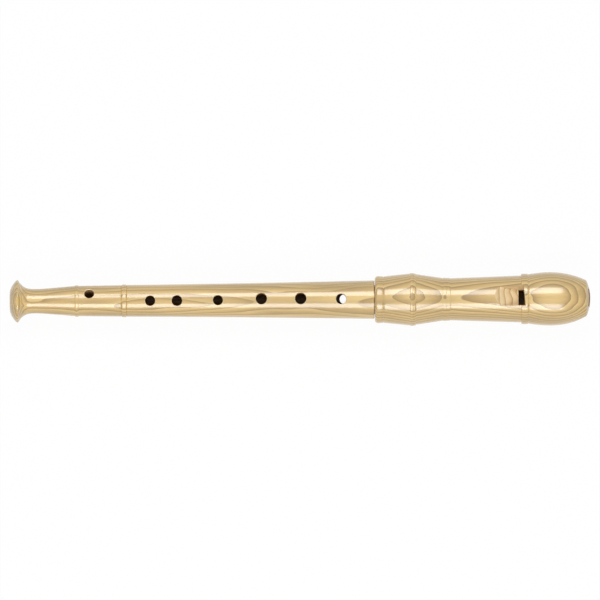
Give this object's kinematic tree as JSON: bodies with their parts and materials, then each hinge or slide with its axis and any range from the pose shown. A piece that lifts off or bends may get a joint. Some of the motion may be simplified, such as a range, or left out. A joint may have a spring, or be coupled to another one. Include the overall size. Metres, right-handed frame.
{
  "type": "soprano recorder",
  "caption": "Wooden soprano recorder with a separate head, cedar block, beaked mouthpiece, finger holes, rear thumb hole and turned foot; the head twists and slides on a corked tenon.",
  "frame": {"origin": "under the middle of the instrument, on the surface that it lies on", "axes": "+X along the bore from the foot to the beak, +Z out of the window"},
  "size_m": [0.3248, 0.03, 0.0299],
  "materials": {
    "body_wood": "straw-coloured wood, turned, clear gloss lacquer",
    "head_wood": "straw-coloured wood with marked growth lines, turned, clear gloss lacquer",
    "cedar": "plain unlacquered cedar, planed",
    "cork": "natural cork, sanded and greased"
  },
  "bodies": {
    "body": {"body_joint": "body_wood"},
    "lapping": {"tenon_cork": "cork"},
    "head": {"head_joint": "head_wood", "block": "cedar"}
  },
  "joints": [
    {"name": "head_twist", "type": "hinge", "parent": "body", "child": "lapping", "pos_m": [0.04189, 0, 0.01485], "axis": [1, 0, 0], "continuous": true},
    {"name": "head_slide", "type": "slide", "parent": "lapping", "child": "head", "axis": [1, 0, 0], "range_m": [0, 0.02]}
  ]
}
